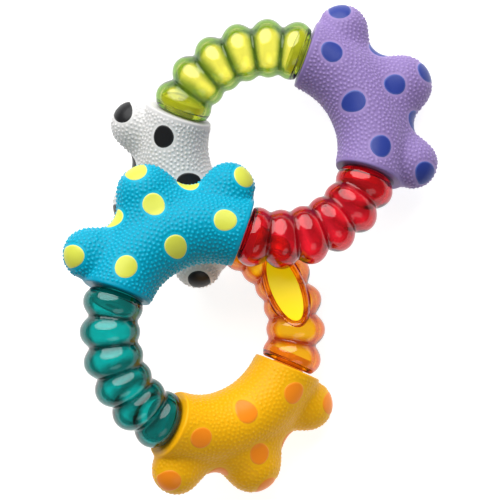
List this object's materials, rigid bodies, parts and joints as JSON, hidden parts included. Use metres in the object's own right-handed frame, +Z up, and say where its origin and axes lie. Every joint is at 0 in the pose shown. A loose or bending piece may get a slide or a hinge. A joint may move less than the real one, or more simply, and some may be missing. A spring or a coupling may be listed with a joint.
{
  "type": "teething ring",
  "caption": "Twisting figure-of-eight teething ring: beaded clear arcs alternate with soft lobed, spotted arcs, all turning on click pivots.",
  "frame": {"origin": "on the floor under the middle of the toy, which lies flat in its twisted figure-of-eight pose", "axes": "+Z up, +Y from the lower loop (yellow and teal links) to the upper loop (lime and purple links), +X to the right seen from above"},
  "size_m": [0.1278, 0.1746, 0.0625],
  "materials": {
    "lime_plastic": "clear tinted, polished",
    "red_plastic": "clear tinted, polished",
    "teal_plastic": "clear tinted, polished",
    "orange_plastic": "clear tinted, polished",
    "oval_yellow": "gloss",
    "blue_rubber": "soft matte with pimples",
    "yellow_rubber": "soft matte with pimples",
    "white_rubber": "soft matte with pimples",
    "purple_rubber": "soft matte with pimples",
    "yellow_spot_rubber": "smooth",
    "orange_spot_rubber": "smooth",
    "black_spot_rubber": "smooth",
    "blue_spot_rubber": "smooth",
    "core_plastic": "moulded",
    "spindle_plastic": "moulded",
    "click_plastic": "moulded"
  },
  "bodies": {
    "blue_link": {"blue_skin": "blue_rubber", "blue_spots": "yellow_spot_rubber", "blue_core": "core_plastic", "blue_spindle_start": "spindle_plastic", "blue_spindle_end": "spindle_plastic"},
    "teal_link": {"teal_shell_front": "teal_plastic", "teal_shell_back": "teal_plastic", "teal_click_ring_start": "click_plastic", "teal_click_ring_end": "click_plastic"},
    "yellow_link": {"yellow_skin": "yellow_rubber", "yellow_spots": "orange_spot_rubber", "yellow_core": "core_plastic", "yellow_spindle_start": "spindle_plastic", "yellow_spindle_end": "spindle_plastic"},
    "orange_link": {"orange_shell_front": "orange_plastic", "orange_shell_back": "orange_plastic", "orange_click_ring_start": "click_plastic", "orange_click_ring_end": "click_plastic", "orange_oval_plate": "oval_yellow"},
    "white_link": {"white_skin": "white_rubber", "white_spots": "black_spot_rubber", "white_core": "core_plastic", "white_spindle_start": "spindle_plastic", "white_spindle_end": "spindle_plastic"},
    "lime_link": {"lime_shell_front": "lime_plastic", "lime_shell_back": "lime_plastic", "lime_click_ring_start": "click_plastic", "lime_click_ring_end": "click_plastic"},
    "purple_link": {"purple_skin": "purple_rubber", "purple_spots": "blue_spot_rubber", "purple_core": "core_plastic", "purple_spindle_start": "spindle_plastic", "purple_spindle_end": "spindle_plastic"},
    "red_link": {"red_shell_front": "red_plastic", "red_shell_back": "red_plastic", "red_click_ring_start": "click_plastic", "red_click_ring_end": "click_plastic"}
  },
  "joints": [
    {"name": "pivot_blue_teal", "type": "hinge", "parent": "teal_link", "child": "blue_link", "pos_m": [-0.0451, -0.01676, 0.05067], "axis": [-0.2894, -0.9356, 0.2023], "range_deg": [0, 30]},
    {"name": "pivot_teal_yellow", "type": "hinge", "parent": "yellow_link", "child": "teal_link", "pos_m": [-0.02884, -0.06186, 0.03837], "axis": [0.7541, -0.353, -0.5539], "range_deg": [-8.1, 0]},
    {"name": "pivot_yellow_orange", "type": "hinge", "parent": "orange_link", "child": "yellow_link", "pos_m": [0.01056, -0.04186, 0.01607], "axis": [0.3717, 0.9246, -0.0833], "range_deg": [0, 24]},
    {"name": "pivot_orange_white", "type": "hinge", "parent": "white_link", "child": "orange_link", "pos_m": [-0.00892, 0.00349, 0.01236], "axis": [-0.9283, 0.3711, -0.0227], "range_deg": [0, 10.1]},
    {"name": "pivot_white_lime", "type": "hinge", "parent": "white_link", "child": "lime_link", "pos_m": [-0.02876, 0.0485, 0.01786], "axis": [-0.3614, -0.9149, -0.1798], "range_deg": [-6.2, 0]},
    {"name": "pivot_lime_purple", "type": "hinge", "parent": "lime_link", "child": "purple_link", "pos_m": [0.01627, 0.06905, 0.01746], "axis": [-0.9252, 0.3279, 0.191], "range_deg": [0, 27.9]},
    {"name": "pivot_purple_red", "type": "hinge", "parent": "purple_link", "child": "red_link", "pos_m": [0.03928, 0.02534, 0.02069], "axis": [0.2679, 0.9209, -0.2831], "range_deg": [-11.2, 0]}
  ],
  "couplings": [
    {"joint": "pivot_teal_yellow", "follows": "pivot_blue_teal", "ratio": -0.2686},
    {"joint": "pivot_yellow_orange", "follows": "pivot_blue_teal", "ratio": 0.7998},
    {"joint": "pivot_orange_white", "follows": "pivot_blue_teal", "ratio": 0.3363},
    {"joint": "pivot_white_lime", "follows": "pivot_blue_teal", "ratio": -0.2053},
    {"joint": "pivot_lime_purple", "follows": "pivot_blue_teal", "ratio": 0.9279},
    {"joint": "pivot_purple_red", "follows": "pivot_blue_teal", "ratio": -0.3709}
  ]
}
